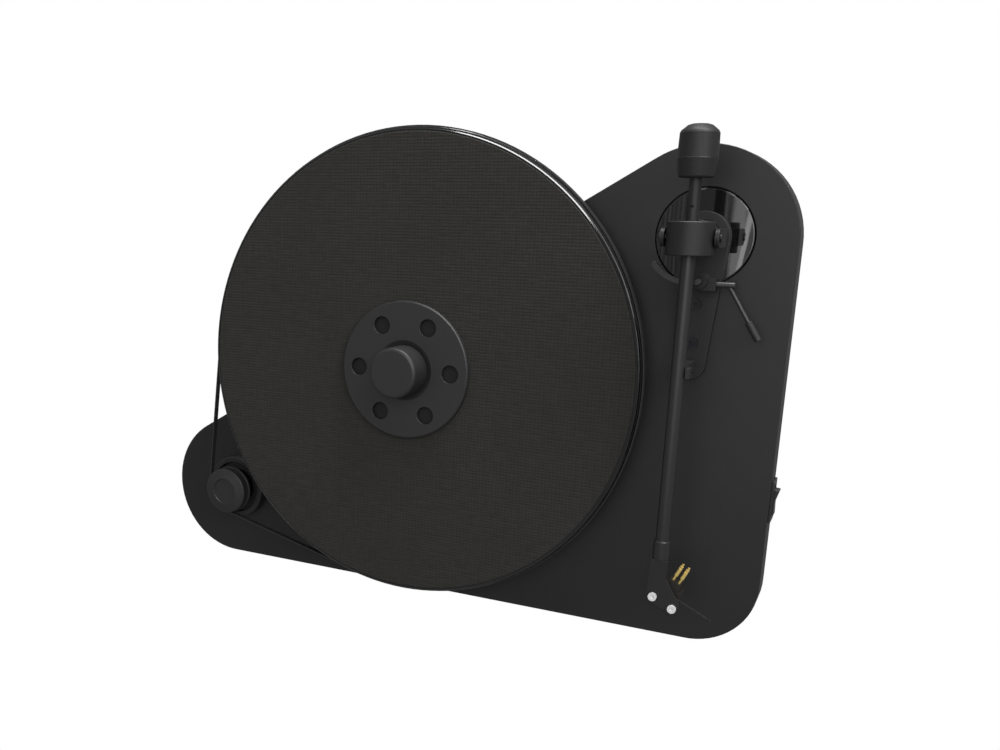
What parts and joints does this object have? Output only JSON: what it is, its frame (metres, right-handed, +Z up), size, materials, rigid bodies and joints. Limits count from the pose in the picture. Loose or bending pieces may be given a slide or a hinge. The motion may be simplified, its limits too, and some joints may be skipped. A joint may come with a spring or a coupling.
{
  "type": "turntable record player",
  "caption": "Wall-hung vertical belt-drive record player: rounded three-corner plinth, large platter with woven mat and screw clamp, straight tonearm with cartridge, cue lever and side switch.",
  "frame": {"origin": "middle of the four wall screws, on the wall plane", "axes": "+X to the right along the plinth, +Y into the wall, +Z up"},
  "size_m": [0.4338, 0.1076, 0.3081],
  "materials": {
    "black_lacquer": "satin black lacquer on fibreboard",
    "black_steel": "fine black powder coat",
    "black_zinc_screw": "black zinc",
    "black_rubber": "matte",
    "black_anodised": "black anodised",
    "plain_steel": "zinc plated",
    "bright_steel": "polished",
    "sintered_bronze": "sintered bronze",
    "motor_steel": "drawn can",
    "black_moulding": "moulded",
    "belt_rubber": "ground",
    "board_green": "solder mask",
    "plain_brass": "turned",
    "gold_contact": "gold plated",
    "white_moulding": "moulded",
    "switch_plastic": "semi gloss",
    "gloss_black": "mirror gloss",
    "arm_satin_black": "satin black",
    "lift_satin_black": "satin black",
    "lever_steel": "dark nickel",
    "platter_black": "black anodised, polished edge",
    "mat_weave": "linen weave",
    "clamp_satin_black": "satin black",
    "pulley_satin_black": "satin black",
    "tube_black": "satin black",
    "shell_black": "fine grain",
    "cartridge_plastic": "moulded",
    "polished_screw": "polished",
    "weight_black": "satin black"
  },
  "bodies": {
    "deck": {"plinth": "black_lacquer", "back_cover": "black_steel", "cover_screws": "black_zinc_screw", "hanger_rail": "black_steel", "rail_screws": "black_zinc_screw", "wall_bracket": "black_steel", "wall_bumpers": "black_rubber", "bearing_housing": "black_anodised", "bearing_nut": "plain_steel", "bearing_bushes": "sintered_bronze", "thrust_ball": "bright_steel", "bearing_cap": "black_anodised", "drive_motor": "motor_steel", "motor_plate": "plain_steel", "motor_grommets": "black_rubber", "motor_screws": "plain_steel", "pulley_ring": "black_moulding", "drive_belt": "belt_rubber", "speed_board": "board_green", "board_posts": "plain_brass", "socket_plate": "black_steel", "phono_sockets": "gold_contact", "phono_insulators": "white_moulding", "power_inlet": "black_moulding", "earth_terminal": "plain_brass", "switch_frame": "switch_plastic", "arm_disc": "gloss_black", "arm_base": "arm_satin_black", "arm_base_screws": "black_zinc_screw", "arm_pillar": "arm_satin_black", "arm_bushes": "bright_steel", "arm_rest": "black_moulding", "lift_housing": "arm_satin_black"},
    "platter": {"platter": "platter_black", "platter_mat": "mat_weave", "platter_hub": "black_anodised", "platter_spindle": "bright_steel"},
    "clamp": {"clamp_flange": "clamp_satin_black", "clamp_knob": "clamp_satin_black", "clamp_pad": "black_rubber"},
    "pulley": {"pulley": "pulley_satin_black", "motor_shaft": "bright_steel", "pulley_screw": "black_zinc_screw"},
    "yoke": {"arm_yoke": "arm_satin_black", "pivot_screws": "black_zinc_screw"},
    "tonearm": {"arm_collar": "arm_satin_black", "arm_tube": "tube_black", "arm_stub": "arm_satin_black", "tube_sleeve": "tube_black", "headshell": "shell_black", "finger_lift": "shell_black", "cartridge": "cartridge_plastic", "cartridge_pins": "gold_contact", "cartridge_screws": "polished_screw"},
    "counterweight": {"counterweight": "weight_black", "counterweight_bush": "black_rubber"},
    "cue_lever": {"lift_lever": "lever_steel", "lift_grip": "black_moulding"},
    "cue_lift": {"lift_bar": "lift_satin_black"},
    "rocker": {"switch_rocker": "switch_plastic"}
  },
  "joints": [
    {"name": "platter_spin", "type": "hinge", "parent": "deck", "child": "platter", "pos_m": [-0.06, -0.07, 0.045], "axis": [0, 1, 0], "continuous": true},
    {"name": "clamp_pull", "type": "slide", "parent": "platter", "child": "clamp", "axis": [0, -1, 0], "range_m": [0, 0.03]},
    {"name": "pulley_spin", "type": "hinge", "parent": "deck", "child": "pulley", "pos_m": [-0.207, -0.066, -0.058], "axis": [0, 1, 0], "continuous": true},
    {"name": "arm_swing", "type": "hinge", "parent": "deck", "child": "yoke", "pos_m": [0.1145, -0.075, 0.133], "axis": [0, 1, 0], "range_deg": [0, 48]},
    {"name": "arm_raise", "type": "hinge", "parent": "yoke", "child": "tonearm", "pos_m": [0.1145, -0.095, 0.133], "axis": [-1, 0, 0], "range_deg": [0, 12]},
    {"name": "counterweight_slide", "type": "slide", "parent": "tonearm", "child": "counterweight", "axis": [0, 0, 1], "range_m": [-0.008, 0.006]},
    {"name": "cue_lever_turn", "type": "hinge", "parent": "deck", "child": "cue_lever", "pos_m": [0.1265, -0.0635, 0.107], "axis": [-1, 0, 0], "range_deg": [0, 50]},
    {"name": "cue_drop", "type": "slide", "parent": "deck", "child": "cue_lift", "axis": [0, 1, 0], "range_m": [0, 0.006]},
    {"name": "rocker_tip", "type": "hinge", "parent": "deck", "child": "rocker", "pos_m": [0.1615, -0.043, -0.018], "axis": [0, 1, 0], "range_deg": [-14, 0]}
  ],
  "couplings": [
    {"joint": "pulley_spin", "follows": "platter_spin", "ratio": 9.5094},
    {"joint": "cue_drop", "follows": "cue_lever_turn", "m_per_rad": 0.00687}
  ]
}
